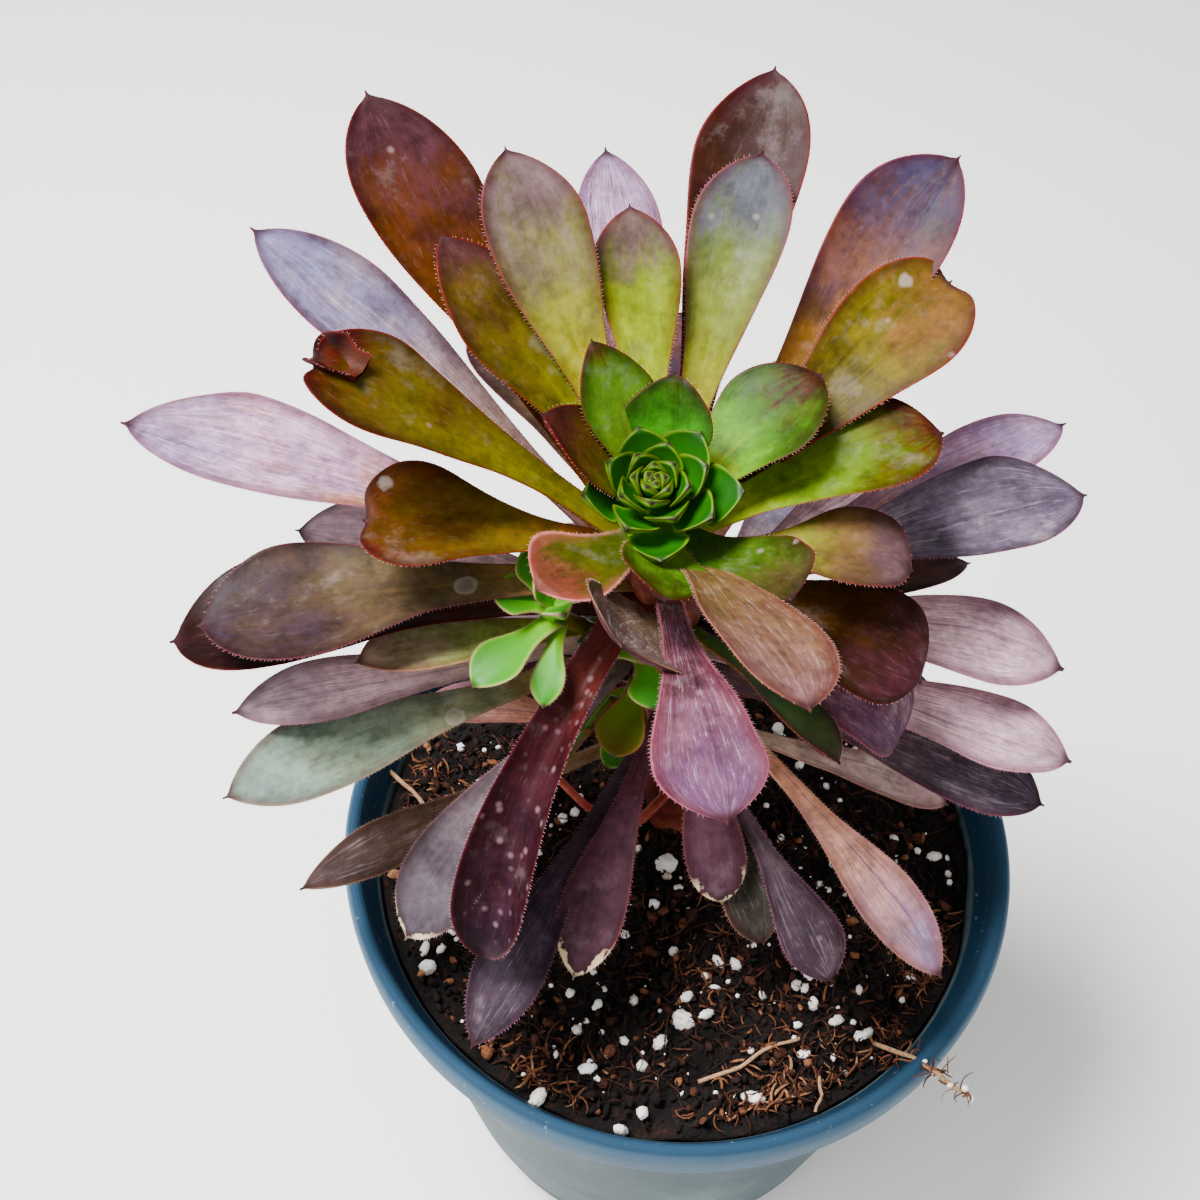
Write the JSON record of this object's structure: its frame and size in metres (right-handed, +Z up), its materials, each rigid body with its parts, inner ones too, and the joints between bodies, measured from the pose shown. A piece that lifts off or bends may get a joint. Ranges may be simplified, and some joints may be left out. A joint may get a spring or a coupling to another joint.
{
  "type": "potted aeonium",
  "caption": "Succulent with a rosette of spoon-shaped leaves on one bare stem, side shoots and old drooping leaves, planted in a round nursery pot.",
  "frame": {"origin": "on the table under the middle of the pot's base", "axes": "+Z up; the picture looks along +Y and down, with +X to its right"},
  "size_m": [0.181, 0.1655, 0.2743],
  "materials": {
    "pot": "satin moulded plastic, dusty",
    "soil": "moist peat with bark and perlite",
    "stem": "satin red-brown skin",
    "heart": "satin leaf skin",
    "leaf_young": "satin leaf skin",
    "leaf_olive": "satin leaf skin",
    "leaf_purple": "satin leaf skin with pale water marks",
    "leaf_maroon": "satin leaf skin, dry at the ends"
  },
  "bodies": {
    "root": {"pot": "pot", "soil": "soil", "stem": "stem", "heart": "heart", "offset_left": "heart", "offset_front": "heart", "leaf_01": "leaf_purple", "leaf_02": "leaf_olive", "leaf_03": "leaf_purple", "leaf_04": "leaf_young", "leaf_05": "leaf_young", "leaf_06": "leaf_purple", "leaf_07": "leaf_olive", "leaf_08": "leaf_purple", "leaf_09": "leaf_olive", "leaf_10": "leaf_young", "leaf_11": "leaf_olive", "leaf_12": "leaf_olive", "leaf_13": "leaf_purple", "leaf_14": "leaf_purple", "leaf_15": "leaf_maroon", "leaf_16": "leaf_purple", "leaf_17": "leaf_purple", "leaf_18": "leaf_maroon", "leaf_19": "leaf_maroon", "leaf_20": "leaf_purple", "leaf_21": "leaf_olive", "leaf_22": "leaf_purple", "leaf_23": "leaf_purple", "leaf_24": "leaf_purple", "leaf_25": "leaf_maroon", "leaf_26": "leaf_purple", "leaf_27": "leaf_purple", "leaf_28": "leaf_purple", "leaf_29": "leaf_maroon", "leaf_30": "leaf_purple", "leaf_31": "leaf_purple", "leaf_32": "leaf_purple", "leaf_33": "leaf_olive", "leaf_34": "leaf_olive", "leaf_35": "leaf_olive", "leaf_36": "leaf_young", "leaf_37": "leaf_maroon", "leaf_38": "leaf_maroon", "leaf_39": "leaf_maroon", "leaf_40": "leaf_maroon", "leaf_41": "leaf_maroon", "leaf_42": "leaf_maroon", "leaf_43": "leaf_maroon", "leaf_44": "leaf_purple", "leaf_45": "leaf_purple", "leaf_46": "leaf_maroon", "leaf_47": "leaf_maroon", "leaf_48": "leaf_maroon", "leaf_49": "leaf_maroon", "leaf_50": "leaf_maroon", "leaf_51": "leaf_purple", "leaf_52": "leaf_purple", "leaf_53": "leaf_purple", "leaf_54": "leaf_purple"}
  },
  "joints": []
}
